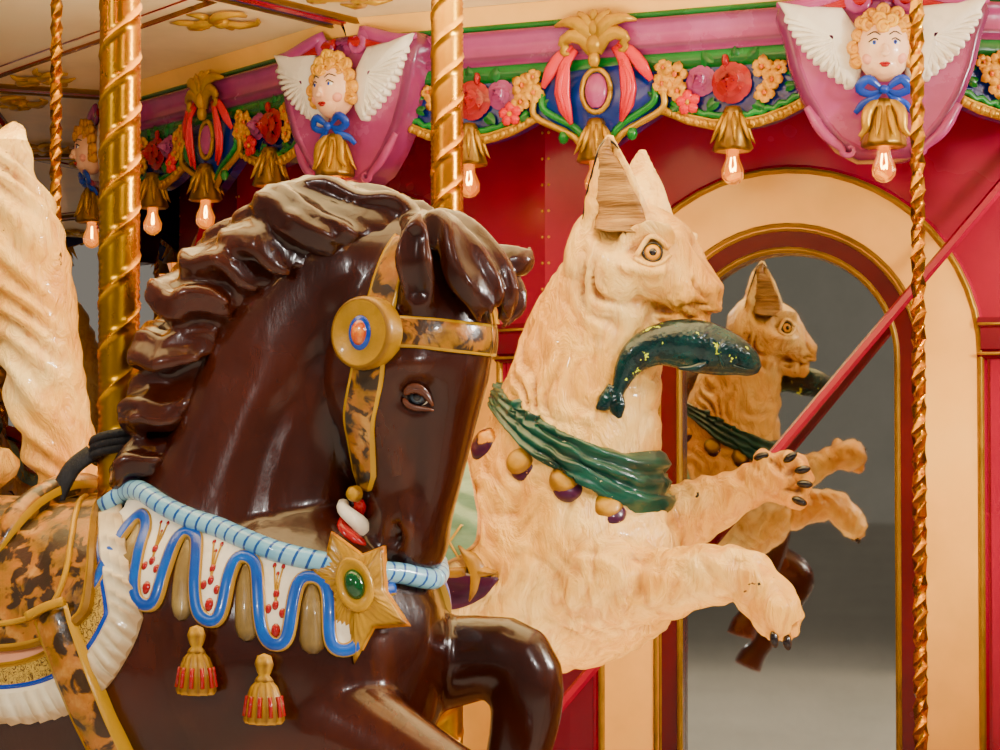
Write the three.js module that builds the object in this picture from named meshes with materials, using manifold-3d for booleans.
// A two-row fairground carousel with twelve sweeps, in millimetres, +Z up, the origin on the
// axis at ground level. A still centre (ground frame, mast and mirrored drum) carries a turning
// frame (hub, sweeps, hangers, platform, ceiling, boards and roof), and the turning frame guides
// twelve horses and twelve cats that rise and fall on their poles.
import * as THREE from "three";
import { mergeVertices } from "three/addons/utils/BufferGeometryUtils.js";
import Module from "manifold-3d";

const wasm = await Module();
wasm.setup();

// Driving dimensions
const SWEEPS = 12;
const STEP_DEG = 360 / SWEEPS;
const HALF_STEP_DEG = STEP_DEG / 2;
const SEAT_GAP = 0.3;
const GROUND_FRAME_TOP = 120;
const DRUM_APOTHEM = 1880;
const DRUM_TURN_DEG = 5.3;
const DRUM_TOP = 2480;
const DRUM_SEGMENTS = 4;
const DECK_TOP = 340;
const DECK_THICKNESS = 50;
const DECK_INNER_RADIUS = 2060;
const DECK_APOTHEM = 4150;
const DECK_SEGMENTS = 4;
const CEILING_UNDERSIDE = 2450;
const CEILING_THICKNESS = 20;
const SWEEP_UNDERSIDE = 2560;
const SWEEP_DEPTH = 110;
const HORSE_RADIUS = 3700;
const CAT_RADIUS = 2970;
const ROW_STAGGER_DEG = 1.03;
const POLE_RADIUS = 27;
const POLE_SIDES = 6;
const ROD_SIDES = 6;
const POLE_CLEARANCE = 0.9;
const POLE_BOTTOM = 180;
const POLE_TOP = 2720;
const INNER_HANGER_RADIUS = 2950;
const OUTER_HANGER_RADIUS = 4050;
const HANGER_ROD_RADIUS = 12;
const INNER_BOARD_CORNER = 2175;
const INNER_BOARD_THICKNESS = 25;
const OUTER_BOARD_CORNER = 4345;
const OUTER_BOARD_THICKNESS = 37;
const ROOF_RIM = 3150;
const ROOF_PEAK = 4050;

const rad = THREE.MathUtils.degToRad;
const facetHalfWidth = (apothem) => apothem * Math.tan(rad(HALF_STEP_DEG));
const apothemOf = (corner) => corner * Math.cos(rad(HALF_STEP_DEG));
const cornerOf = (apothem) => apothem / Math.cos(rad(HALF_STEP_DEG));

// Finishes
const finish = (color, roughness, metalness = 0) =>
  new THREE.MeshStandardMaterial({ color, roughness, metalness });
const BRASS = finish(0xc9a227, 0.3, 0.9);
const CRIMSON = finish(0x7d0a1e, 0.3);
const CREAM = finish(0xefc58c, 0.4);
const STEEL = finish(0x3d3a3a, 0.5, 0.6);
const SILVER = finish(0xd8dcdc, 0.05, 1);
const TIMBER = finish(0x8a5a36, 0.6);
const PLUM = finish(0xa3536f, 0.4);
const HORSE_BROWN = finish(0x552c1c, 0.25);
const CAT_CREAM = finish(0xe9cfa4, 0.4);

// Geometry as a manifold solid, and a solid as geometry again
function solid(geometry) {
  const bare = geometry.clone();
  bare.deleteAttribute("normal");
  bare.deleteAttribute("uv");
  const merged = mergeVertices(bare, 1e-3);
  return new wasm.Manifold(
    new wasm.Mesh({
      numProp: 3,
      vertProperties: new Float32Array(merged.attributes.position.array),
      triVerts: new Uint32Array(merged.index.array),
    }),
  );
}

function geometryOf(made) {
  const mesh = made.getMesh();
  const geometry = new THREE.BufferGeometry();
  geometry.setAttribute("position", new THREE.BufferAttribute(mesh.vertProperties, 3));
  geometry.setIndex(new THREE.BufferAttribute(mesh.triVerts, 1));
  return geometry;
}

const unionOf = (parts) => parts.reduce((whole, part) => whole.add(part));
const subtractAll = (body, cutters) => cutters.reduce((left, cutter) => left.subtract(cutter), body);

// A flat outline made thick along Z, from low to high
function prism(shape, low, high, curveSegments = 6) {
  const options = { depth: high - low, bevelEnabled: false, curveSegments };
  return new THREE.ExtrudeGeometry(shape, options).translate(0, 0, low);
}

// An outline drawn in X and height, standing up and made thick outwards, towards -Y
function standing(shape, backRadius, thickness, curveSegments = 6) {
  const options = { depth: thickness, bevelEnabled: false, curveSegments };
  return new THREE.ExtrudeGeometry(shape, options).rotateX(Math.PI / 2).translate(0, -backRadius, 0);
}

function box(x0, x1, y0, y1, z0, z1) {
  const centre = [(x0 + x1) / 2, (y0 + y1) / 2, (z0 + z1) / 2];
  return new THREE.BoxGeometry(x1 - x0, y1 - y0, z1 - z0).translate(...centre);
}

// Station angles run from -Y towards -X, so a piece drawn at -Y is turned by minus the angle
const turned = (geometry, angleDeg) => geometry.clone().rotateZ(-rad(angleDeg));
const atRadius = (radius, angleDeg) =>
  new THREE.Vector3(-radius * Math.sin(rad(angleDeg)), -radius * Math.cos(rad(angleDeg)), 0);
const inPlan = (radius, angleDeg) => {
  const p = atRadius(radius, angleDeg);
  return new THREE.Vector2(p.x, p.y);
};
const stations = (firstDeg, count = SWEEPS) =>
  Array.from({ length: count }, (_, i) => firstDeg + (i * 360) / count);

// A regular polygon with a corner on the station angle, as a path or shape, run anticlockwise
function polygon(corner, sides, cornerDeg, Kind = THREE.Shape) {
  const points = stations(cornerDeg, sides).map((angle) => inPlan(corner, angle));
  return new Kind(points.reverse());
}

function polygonRing(outerCorner, innerCorner, low, high, cornerDeg = 0, sides = SWEEPS) {
  const shape = polygon(outerCorner, sides, cornerDeg);
  shape.holes.push(polygon(innerCorner, sides, cornerDeg, THREE.Path));
  return prism(shape, low, high);
}

// A round rod between two points
function rod(start, end, radius, sides = ROD_SIDES) {
  const along = new THREE.Vector3().subVectors(end, start);
  const axis = new THREE.Vector3(0, 1, 0);
  const turn = new THREE.Quaternion().setFromUnitVectors(axis, along.clone().normalize());
  return new THREE.CylinderGeometry(radius, radius, along.length(), sides)
    .applyQuaternion(turn)
    .translate((start.x + end.x) / 2, (start.y + end.y) / 2, (start.z + end.z) / 2);
}

function upright(x, y, low, high, radius, sides = 8) {
  const cylinder = new THREE.CylinderGeometry(radius, radius, high - low, sides);
  return cylinder.rotateX(Math.PI / 2).translate(x, y, (low + high) / 2);
}

// A revolved body about Z. The profile is [radius, height] pairs that run so the faces point out.
function revolved(profile, sides) {
  const points = profile.map(([r, z]) => new THREE.Vector2(r, z));
  return new THREE.LatheGeometry(points, sides).rotateX(Math.PI / 2);
}

// A limb or trunk skinned over oval sections. Each section is [x, y, z, halfWidth, halfDepth]:
// its centre, its half size across the animal and its half size square to the limb's run.
function skinned(sections, sides) {
  const centres = sections.map(([x, y, z]) => new THREE.Vector3(x, y, z));
  const positions = [];
  sections.forEach(([, , , halfWidth, halfDepth], i) => {
    const before = centres[Math.max(i - 1, 0)];
    const after = centres[Math.min(i + 1, centres.length - 1)];
    const run = new THREE.Vector3().subVectors(after, before).normalize();
    const depthAxis = new THREE.Vector3(-run.z, 0, run.x).normalize();
    const widthAxis = new THREE.Vector3().crossVectors(depthAxis, run).normalize();
    for (let k = 0; k < sides; k++) {
      const a = (2 * Math.PI * (k + 0.5)) / sides;
      const p = centres[i].clone();
      p.addScaledVector(widthAxis, halfWidth * Math.cos(a));
      p.addScaledVector(depthAxis, halfDepth * Math.sin(a));
      positions.push(p.x, p.y, p.z);
    }
  });
  const index = [];
  for (let i = 0; i + 1 < sections.length; i++)
    for (let k = 0; k < sides; k++) {
      const a = i * sides + k;
      const b = i * sides + ((k + 1) % sides);
      index.push(a, b, b + sides, a, b + sides, a + sides);
    }
  const last = (sections.length - 1) * sides;
  for (let k = 1; k + 1 < sides; k++) {
    index.push(0, k + 1, k);
    index.push(last, last + k, last + k + 1);
  }
  const geometry = new THREE.BufferGeometry();
  geometry.setAttribute("position", new THREE.Float32BufferAttribute(positions, 3));
  geometry.setIndex(index);
  const made = solid(geometry);
  return made.volume() > 0 ? made : solid(flipped(geometry));
}

function flipped(geometry) {
  const index = Array.from(geometry.index.array);
  for (let i = 0; i < index.length; i += 3) [index[i], index[i + 1]] = [index[i + 1], index[i]];
  return geometry.clone().setIndex(index);
}

// The still centre
const SILL_INSET = 4;
const SILL_WIDTH = 170;
const GROUND_BEAM_HALF_WIDTH = 70;
const GROUND_BEAM_INSET = 100;
const GROUND_BEAM_ANGLES_DEG = [0, 45, 90, 135];
const MAST_RADIUS = 110;
const MAST_SIDES = 24;
const MAST_CLEARANCE = 1.5;
const MAST_TOP = 2740;
const COLLAR_RADIUS = 180;
const FOOT_RADIUS = 240;
const FLANGE = 30;
const HUB_UNDERSIDE = 2540;
const BEARING_GAP = 0.5;
const DRUM_CORNER_DEG = DRUM_TURN_DEG + HALF_STEP_DEG;

function groundFrame() {
  const sillCorner = cornerOf(DRUM_APOTHEM - SILL_INSET);
  const sill = solid(
    polygonRing(sillCorner, sillCorner - SILL_WIDTH, 0, GROUND_FRAME_TOP, DRUM_CORNER_DEG),
  );
  const halfWidth = GROUND_BEAM_HALF_WIDTH;
  const halfLength = DRUM_APOTHEM - GROUND_BEAM_INSET;
  const beam = box(-halfWidth, halfWidth, -halfLength, halfLength, 0, GROUND_FRAME_TOP);
  const beams = GROUND_BEAM_ANGLES_DEG.map((angle) => solid(turned(beam, angle)));
  return unionOf([sill, ...beams]);
}

function centreMast() {
  const bottom = GROUND_FRAME_TOP + SEAT_GAP;
  const collarTop = HUB_UNDERSIDE - BEARING_GAP;
  const shaft = solid(upright(0, 0, bottom, MAST_TOP, MAST_RADIUS, MAST_SIDES));
  const collar = solid(upright(0, 0, collarTop - FLANGE, collarTop, COLLAR_RADIUS, MAST_SIDES));
  const foot = solid(upright(0, 0, bottom, bottom + FLANGE, FOOT_RADIUS, MAST_SIDES));
  return unionOf([shaft, collar, foot]);
}

const WALL = 30;
const ARCH_SPRING = 1737;
const ARCH_BOARD = { radius: 385, bottom: 430, proud: 12 };
const MIRROR_OPENING = { radius: 214, bottom: 560 };
const CAPITAL = { from: 376, to: 500, bottom: 1732, top: 1815, proud: 28 };
const RELIEF_ROOT = 5;
const CUTTER_REACH = 100;
const WALL_SEAM_DEG = 0.01;
const MIRROR = { thickness: 6, bottom: 520, top: 2000 };
const DRUM_LID = { bottom: 2380, top: 2420, boreGap: 0.5 };

function archShape(radius, bottom) {
  const shape = new THREE.Shape();
  shape.moveTo(-radius, bottom);
  shape.lineTo(radius, bottom);
  shape.lineTo(radius, ARCH_SPRING);
  shape.absarc(0, ARCH_SPRING, radius, 0, Math.PI, false);
  return shape;
}

function drumWall(firstDeg, facets) {
  const outer = cornerOf(DRUM_APOTHEM);
  const inner = cornerOf(DRUM_APOTHEM - WALL);
  const cornerDeg = firstDeg - HALF_STEP_DEG;
  const corners = Array.from({ length: facets + 1 }, (_, i) => cornerDeg + i * STEP_DEG);
  corners[0] += WALL_SEAM_DEG;
  corners[facets] -= WALL_SEAM_DEG;
  const outerEdge = corners.map((angle) => inPlan(outer, angle));
  const innerEdge = corners.reverse().map((angle) => inPlan(inner, angle));
  const outline = [...outerEdge, ...innerEdge];
  const relief = [];
  const openings = [];
  for (let i = 0; i < facets; i++) {
    const angle = firstDeg + i * STEP_DEG;
    const back = DRUM_APOTHEM - RELIEF_ROOT;
    const arch = archShape(ARCH_BOARD.radius, ARCH_BOARD.bottom);
    relief.push(turned(standing(arch, back, ARCH_BOARD.proud + RELIEF_ROOT, 4), angle));
    const front = DRUM_APOTHEM + CAPITAL.proud;
    for (const [x0, x1] of [[CAPITAL.from, CAPITAL.to], [-CAPITAL.to, -CAPITAL.from]])
      relief.push(turned(box(x0, x1, -front, -back, CAPITAL.bottom, CAPITAL.top), angle));
    const clear = archShape(MIRROR_OPENING.radius, MIRROR_OPENING.bottom);
    const cutter = standing(clear, DRUM_APOTHEM - CUTTER_REACH, 2 * CUTTER_REACH, 4);
    openings.push(solid(turned(cutter, angle)));
  }
  const wall = solid(prism(new THREE.Shape(outline), GROUND_FRAME_TOP + SEAT_GAP, DRUM_TOP));
  return subtractAll(unionOf([wall, ...relief.map(solid)]), openings);
}

function mirrorRing() {
  const outer = cornerOf(DRUM_APOTHEM - WALL - SEAT_GAP);
  return solid(
    polygonRing(outer, outer - MIRROR.thickness, MIRROR.bottom, MIRROR.top, DRUM_CORNER_DEG),
  );
}

function drumTop() {
  const shape = polygon(cornerOf(DRUM_APOTHEM - WALL - SEAT_GAP), SWEEPS, DRUM_CORNER_DEG);
  shape.holes.push(polygon(MAST_RADIUS + DRUM_LID.boreGap, MAST_SIDES, 0, THREE.Path));
  return solid(prism(shape, DRUM_LID.bottom, DRUM_LID.top));
}

// The turning frame
const HUB_CORNER = 420;
const HUB_TOP = 2800;
const KING_POST_RADIUS = 60;
const ROOF_THICKNESS = 24;
const CAP_PLUG_BOTTOM = ROOF_PEAK - ROOF_THICKNESS - 30;
const RING_WIDTH = 60;
const SWEEP_HALF_WIDTH = 30;
const BOARD_INNER_CORNER = cornerOf(apothemOf(OUTER_BOARD_CORNER) - OUTER_BOARD_THICKNESS);
const TIE_RING_CORNER = 2130;
const HANGER_RING_HALF_WIDTH = 25;
const HANGER_RING_DEPTH = 30;
const HANGER_CLEARANCE = 0.6;
const OVERLAP = 10;
const HUB_HEADROOM = 20;

function hub() {
  const bore = (MAST_RADIUS + MAST_CLEARANCE) / Math.cos(Math.PI / MAST_SIDES);
  const body = solid(prism(polygon(HUB_CORNER, SWEEPS, 0), HUB_UNDERSIDE, HUB_TOP));
  const post = upright(0, 0, HUB_TOP - OVERLAP, CAP_PLUG_BOTTOM - SEAT_GAP, KING_POST_RADIUS);
  const socket = upright(0, 0, HUB_UNDERSIDE - OVERLAP, MAST_TOP + HUB_HEADROOM, bore, MAST_SIDES);
  return body.add(solid(post)).subtract(solid(socket));
}

function sweepFrame() {
  const top = SWEEP_UNDERSIDE + SWEEP_DEPTH;
  const hubRing = HUB_CORNER + SEAT_GAP + RING_WIDTH / 2;
  const armEnd = BOARD_INNER_CORNER - SWEEP_HALF_WIDTH * Math.tan(rad(HALF_STEP_DEG)) - SEAT_GAP;
  const arm = box(-SWEEP_HALF_WIDTH, SWEEP_HALF_WIDTH, -armEnd, -hubRing, SWEEP_UNDERSIDE, top);
  const arms = stations(0).map((angle) => solid(turned(arm, angle)));
  const rings = [hubRing, TIE_RING_CORNER, OUTER_HANGER_RADIUS].map((corner) =>
    solid(polygonRing(corner + RING_WIDTH / 2, corner - RING_WIDTH / 2, SWEEP_UNDERSIDE, top)),
  );
  return unionOf([...rings, ...arms]);
}

function hangers(radius) {
  const half = HANGER_RING_HALF_WIDTH;
  const ringLow = SWEEP_UNDERSIDE - HANGER_RING_DEPTH;
  const ring = solid(polygonRing(radius + half, radius - half, ringLow, SWEEP_UNDERSIDE - SEAT_GAP));
  const top = SWEEP_UNDERSIDE - OVERLAP;
  const rods = stations(0).map((angle) => {
    const p = atRadius(radius, angle);
    return solid(upright(p.x, p.y, DECK_TOP + SEAT_GAP, top, HANGER_ROD_RADIUS, ROD_SIDES));
  });
  return unionOf([ring, ...rods]);
}

const TIE_ROD = { radius: 11, footRadius: 2450, topRadius: 2060, topLagDeg: 49, overrun: 20 };
const TIE_SHOE = { radius: 40, height: 22 };
const TIE_ROD_COUNT = 6;

function tieRod(footDeg) {
  const { radius, footRadius, topRadius, topLagDeg, overrun } = TIE_ROD;
  const low = DECK_TOP + SEAT_GAP;
  const high = SWEEP_UNDERSIDE - SEAT_GAP;
  const foot = atRadius(footRadius, footDeg).setZ(DECK_TOP - OVERLAP);
  const top = atRadius(topRadius, footDeg - topLagDeg).setZ(SWEEP_UNDERSIDE + overrun);
  const bar = solid(rod(foot, top, radius));
  const shoe = solid(upright(foot.x, foot.y, low, DECK_TOP + TIE_SHOE.height, TIE_SHOE.radius));
  const reach = OUTER_BOARD_CORNER;
  return bar.add(shoe).intersect(solid(box(-reach, reach, -reach, reach, low, high)));
}

// Upright holes for the poles, in both rows, and for the hanger rods
const ROWS = [
  { radius: HORSE_RADIUS, offsetDeg: HALF_STEP_DEG + ROW_STAGGER_DEG },
  { radius: CAT_RADIUS, offsetDeg: HALF_STEP_DEG - ROW_STAGGER_DEG },
];

function poleCutters(low, high) {
  const radius = POLE_RADIUS + POLE_CLEARANCE;
  return ROWS.flatMap((row) => {
    const cutter = upright(0, -row.radius, low, high, radius, POLE_SIDES);
    return stations(row.offsetDeg).map((angle) => solid(turned(cutter, angle)));
  });
}

function hangerCutters(low, high) {
  const radius = HANGER_ROD_RADIUS + HANGER_CLEARANCE;
  return [INNER_HANGER_RADIUS, OUTER_HANGER_RADIUS].flatMap((ringRadius) =>
    stations(0).map((angle) => {
      const p = atRadius(ringRadius, angle);
      return solid(upright(p.x, p.y, low, high, radius, ROD_SIDES));
    }),
  );
}

const HOLE_REACH = 50;
const DECK_SEAM_DEG = 0.006;
const DECK_INNER_SIDES = 36;
const WEDGE_REACH = 9000;
const JOIST = { halfWidth: 30, depth: 100, innerCorner: 2140, outerCorner: 4140 };
const SKIRT = { thickness: 30, bottom: 90 };

function deckSegment(firstDeg, spanDeg) {
  const ring = new THREE.Shape(polygon(cornerOf(DECK_APOTHEM), SWEEPS, 0).getPoints());
  ring.holes.push(polygon(DECK_INNER_RADIUS, DECK_INNER_SIDES, 0, THREE.Path));
  const wedge = new THREE.Shape([
    new THREE.Vector2(0, 0),
    inPlan(WEDGE_REACH, firstDeg + DECK_SEAM_DEG),
    inPlan(WEDGE_REACH, firstDeg + spanDeg / 2),
    inPlan(WEDGE_REACH, firstDeg + spanDeg - DECK_SEAM_DEG),
  ]);
  const plate = solid(prism(ring, DECK_TOP - DECK_THICKNESS, DECK_TOP));
  const share = solid(prism(wedge, 0, DECK_TOP + HOLE_REACH));
  const holes = poleCutters(DECK_TOP - DECK_THICKNESS - HOLE_REACH, DECK_TOP + HOLE_REACH);
  return subtractAll(plate.intersect(share), holes);
}

function platformFrame() {
  const { halfWidth, depth, innerCorner, outerCorner } = JOIST;
  const top = DECK_TOP - DECK_THICKNESS - SEAT_GAP;
  const low = top - depth;
  const joist = box(-halfWidth, halfWidth, -outerCorner, -innerCorner, low, top);
  const joists = stations(0).map((angle) => solid(turned(joist, angle)));
  const rings = [innerCorner, outerCorner].map((corner) =>
    solid(polygonRing(corner + RING_WIDTH / 2, corner - RING_WIDTH / 2, low, top)),
  );
  return unionOf([...rings, ...joists]);
}

function platformSkirt() {
  const inner = cornerOf(DECK_APOTHEM + SEAT_GAP);
  return solid(polygonRing(inner + SKIRT.thickness, inner, SKIRT.bottom, DECK_TOP));
}

function ceiling() {
  const inner = cornerOf(apothemOf(INNER_BOARD_CORNER) - INNER_BOARD_THICKNESS);
  const high = CEILING_UNDERSIDE + CEILING_THICKNESS;
  const plate = solid(polygonRing(BOARD_INNER_CORNER - SEAT_GAP, inner, CEILING_UNDERSIDE, high));
  const low = CEILING_UNDERSIDE - HOLE_REACH;
  const holes = [poleCutters, hangerCutters].flatMap((cutters) => cutters(low, high + HOLE_REACH));
  return subtractAll(plate, holes);
}

// The outline below a board's edge, one facet wide: a pendant in the middle, a scallop at each
// side and, past the scallops, the part that the corner shield covers
function edgeBelow({ pendantZ, cuspX, cuspZ, scallopX, scallopZ, endX, endZ, floorZ, endZoneX }) {
  const shape = new THREE.Shape();
  const bowZ = 2 * scallopZ - (endZ + cuspZ) / 2;
  shape.moveTo(-endZoneX, floorZ);
  shape.lineTo(-endZoneX, endZ);
  shape.lineTo(-endX, endZ);
  shape.quadraticCurveTo(-scallopX, bowZ, -cuspX, cuspZ);
  shape.lineTo(0, pendantZ);
  shape.lineTo(cuspX, cuspZ);
  shape.quadraticCurveTo(scallopX, bowZ, endX, endZ);
  shape.lineTo(endZoneX, endZ);
  shape.lineTo(endZoneX, floorZ);
  return shape;
}

// Shares of the half width and of the height where a shield's outline turns
const SHIELD = { foot: 0.28, waist: 0.72, waistRise: 0.3, breast: 0.9, breastRise: 0.62, crown: 0.08 };

function shieldShape({ halfWidth, low, high }) {
  const height = high - low;
  const foot = SHIELD.foot * halfWidth;
  const waist = [SHIELD.waist * halfWidth, low + SHIELD.waistRise * height];
  const breast = [SHIELD.breast * halfWidth, low + SHIELD.breastRise * height];
  const crown = SHIELD.crown * height;
  const shape = new THREE.Shape();
  shape.moveTo(-foot, low);
  shape.lineTo(foot, low);
  shape.quadraticCurveTo(...waist, ...breast);
  shape.lineTo(halfWidth, high - crown);
  shape.quadraticCurveTo(0, high + crown, -halfWidth, high - crown);
  shape.lineTo(-breast[0], breast[1]);
  shape.quadraticCurveTo(-waist[0], waist[1], -foot, low);
  return shape;
}

const SHIELD_PROUD = 25;
const OUTER_SHIELD_TOP = 2925;
const EDGE_CUTTER_REACH = 80;

// A twelve-sided board with a cut lower edge and a shield on each corner
function board({ corner, thickness, low, high, edge, shield }) {
  const apothem = apothemOf(corner);
  const inner = cornerOf(apothem - thickness);
  const below = edgeBelow({ ...edge, endZoneX: facetHalfWidth(apothem) + OVERLAP });
  const cutter = standing(below, apothem - EDGE_CUTTER_REACH, 2 * EDGE_CUTTER_REACH, 3);
  const cutters = stations(HALF_STEP_DEG).map((angle) => solid(turned(cutter, angle)));
  const front = standing(shieldShape(shield), corner - shield.depth, shield.depth + SHIELD_PROUD, 2);
  const shields = unionOf(stations(0).map((angle) => solid(turned(front, angle))));
  const core = prism(polygon(inner, SWEEPS, 0), shield.low - OVERLAP, shield.high + OVERLAP);
  const ring = solid(polygonRing(corner, inner, low, high));
  return subtractAll(ring, cutters).add(shields.subtract(solid(core)));
}

const innerBoard = () =>
  board({
    corner: INNER_BOARD_CORNER,
    thickness: INNER_BOARD_THICKNESS,
    low: 2100,
    high: CEILING_UNDERSIDE - SEAT_GAP,
    edge: {
      pendantZ: 2135, cuspX: 130, cuspZ: 2214, scallopX: 277, scallopZ: 2172, endX: 426, endZ: 2214,
      floorZ: 1900,
    },
    shield: { halfWidth: 196, low: 2098, high: 2425, depth: 90 },
  });

const outerBoard = () =>
  board({
    corner: OUTER_BOARD_CORNER,
    thickness: OUTER_BOARD_THICKNESS,
    low: 2320,
    high: ROOF_RIM,
    edge: {
      pendantZ: 2335, cuspX: 270, cuspZ: 2480, scallopX: 560, scallopZ: 2400, endX: 860, endZ: 2480,
      floorZ: 1900,
    },
    shield: { halfWidth: 370, low: 2300, high: OUTER_SHIELD_TOP, depth: 160 },
  });

const ROOF_EYE_RADIUS = 260;
const ROOF_RIM_DROP = 30;

function roof() {
  const rim = BOARD_INNER_CORNER - SEAT_GAP;
  const low = ROOF_RIM - ROOF_RIM_DROP;
  const profile = [
    [rim, low], [rim, low + ROOF_THICKNESS], [ROOF_EYE_RADIUS, ROOF_PEAK],
    [ROOF_EYE_RADIUS, ROOF_PEAK - ROOF_THICKNESS], [rim, low],
  ];
  return oriented(revolved(profile, SWEEPS));
}

// The solid of a profile that may have been drawn either way round
function oriented(geometry) {
  const indexed = geometry.index ? geometry : mergeVertices(geometry);
  try {
    const made = solid(indexed);
    if (made.volume() > 0) return made;
  } catch {
    // The other winding is the closed one
  }
  return solid(flipped(indexed));
}

// The cap's outline above the roof's peak, as [radius, rise]
const CAP_OUTLINE = [[330, SEAT_GAP], [330, 40], [150, 130], [60, 190], [110, 260], [60, 330], [0, 480]];

function roofCap() {
  const plug = ROOF_EYE_RADIUS - SEAT_GAP;
  const above = CAP_OUTLINE.map(([radius, rise]) => [radius, ROOF_PEAK + rise]);
  const profile = [[0, CAP_PLUG_BOTTOM], [plug, CAP_PLUG_BOTTOM], [plug, ROOF_PEAK + SEAT_GAP], ...above];
  return oriented(revolved(profile, SWEEPS));
}

// The riding figures face +X, with the pole on their own Z axis and heights above the ground
const pole = () => solid(upright(0, 0, POLE_BOTTOM, POLE_TOP, POLE_RADIUS, POLE_SIDES));

function horse() {
  const trunk = skinned([
    [-660, 0, 1375, 60, 60], [-560, 0, 1335, 155, 170], [-150, 0, 1320, 170, 200], [190, 0, 1325, 165, 200],
    [405, 0, 1365, 95, 110],
  ], 6);
  const neckAndHead = skinned([
    [130, 0, 1390, 130, 190], [190, 0, 1600, 85, 150], [300, 0, 1770, 75, 125], [420, 0, 1690, 80, 100],
    [390, 0, 1440, 48, 48],
  ], 5);
  const legs = [
    [[240, 75, 1310, 62, 88], [500, 92, 1315, 40, 50], [415, 92, 1045, 34, 34]],
    [[240, -80, 1290, 62, 88], [605, -94, 1145, 40, 46], [440, -94, 885, 34, 34]],
    [[-480, 90, 1240, 75, 120], [-650, 95, 930, 36, 46], [-720, 95, 700, 32, 32]],
    [[-480, -90, 1240, 75, 120], [-540, -95, 890, 36, 46], [-590, -95, 655, 32, 32]],
  ].map((sections) => skinned(sections, 4));
  const tail = skinned([[-630, 0, 1385, 36, 36], [-775, 0, 1350, 46, 54], [-850, 0, 1020, 34, 34]], 4);
  return unionOf([trunk, neckAndHead, ...legs, tail, pole()]);
}

function cat() {
  const trunk = skinned([
    [-650, 0, 1385, 75, 80], [-520, 0, 1370, 130, 155], [-150, 0, 1385, 132, 170], [180, 0, 1420, 140, 190],
    [365, 0, 1440, 60, 80],
  ], 6);
  const neckAndHead = skinned([
    [170, 0, 1500, 120, 160], [225, 0, 1730, 88, 105], [270, 0, 1860, 98, 100], [360, 0, 1830, 88, 80],
    [440, 0, 1780, 40, 42],
  ], 5);
  const ears = [-1, 1].map((side) =>
    skinned([[285, side * 62, 1880, 34, 52], [290, side * 80, 2030, 6, 8]], 4),
  );
  const fish = skinned([[255, -78, 1630, 12, 28], [390, -36, 1748, 36, 46], [500, -14, 1680, 18, 20]], 4);
  const legs = [
    [[260, 60, 1400, 55, 75], [465, 80, 1505, 36, 38], [550, 80, 1515, 44, 44]],
    [[260, -60, 1360, 55, 75], [480, -82, 1400, 38, 44], [552, -84, 1322, 38, 38]],
    [[-470, 70, 1290, 65, 100], [-560, 82, 1030, 36, 42], [-700, 82, 955, 34, 30]],
    [[-470, -70, 1290, 65, 100], [-460, -82, 1010, 36, 42], [-590, -82, 925, 34, 30]],
  ].map((sections) => skinned(sections, 4));
  const tail = skinned([
    [-600, 0, 1420, 48, 50], [-676, -55, 1560, 56, 56], [-690, -125, 1880, 60, 60],
    [-705, -157, 2070, 22, 22],
  ], 4);
  return unionOf([trunk, neckAndHead, ...ears, fish, ...legs, tail, pole()]);
}

// The assembly
const carousel = new THREE.Group();

function addNode(name, made, material, place = {}) {
  const mesh = new THREE.Mesh(made instanceof THREE.BufferGeometry ? made : geometryOf(made), material);
  mesh.name = name;
  if (place.radius) mesh.position.copy(atRadius(place.radius, place.angleDeg));
  mesh.rotation.z = -rad(place.angleDeg ?? 0);
  carousel.add(mesh);
}

addNode("ground_frame", groundFrame(), STEEL);
addNode("centre_mast", centreMast(), STEEL);
const drumFacets = SWEEPS / DRUM_SEGMENTS;
for (let i = 0; i < DRUM_SEGMENTS; i++) {
  const firstDeg = DRUM_TURN_DEG + i * drumFacets * STEP_DEG;
  addNode(`drum_wall_${i + 1}`, drumWall(firstDeg, drumFacets), CRIMSON);
}
addNode("drum_mirrors", mirrorRing(), SILVER);
addNode("drum_top", drumTop(), TIMBER);

addNode("hub", hub(), STEEL);
addNode("sweep_frame", sweepFrame(), STEEL);
addNode("inner_hangers", hangers(INNER_HANGER_RADIUS), BRASS);
addNode("outer_hangers", hangers(OUTER_HANGER_RADIUS), BRASS);
stations(STEP_DEG, TIE_ROD_COUNT).forEach((angle, i) =>
  addNode(`tie_rod_${i + 1}`, tieRod(angle), CRIMSON),
);
addNode("ceiling", ceiling(), CREAM);
addNode("inner_board", innerBoard(), PLUM);
addNode("outer_board", outerBoard(), PLUM);
addNode("roof", roof(), CRIMSON);
addNode("roof_cap", roofCap(), BRASS);
const deckSpanDeg = 360 / DECK_SEGMENTS;
for (let i = 0; i < DECK_SEGMENTS; i++)
  addNode(`deck_${i + 1}`, deckSegment(i * deckSpanDeg, deckSpanDeg), TIMBER);
addNode("platform_frame", platformFrame(), STEEL);
addNode("platform_skirt", platformSkirt(), CRIMSON);

const horseGeometry = geometryOf(horse());
const catGeometry = geometryOf(cat());
stations(HALF_STEP_DEG + ROW_STAGGER_DEG).forEach((angleDeg, i) =>
  addNode(`horse_${i + 1}`, horseGeometry, HORSE_BROWN, { radius: HORSE_RADIUS, angleDeg }),
);
stations(HALF_STEP_DEG - ROW_STAGGER_DEG).forEach((angleDeg, i) =>
  addNode(`cat_${i + 1}`, catGeometry, CAT_CREAM, { radius: CAT_RADIUS, angleDeg }),
);

export default carousel;
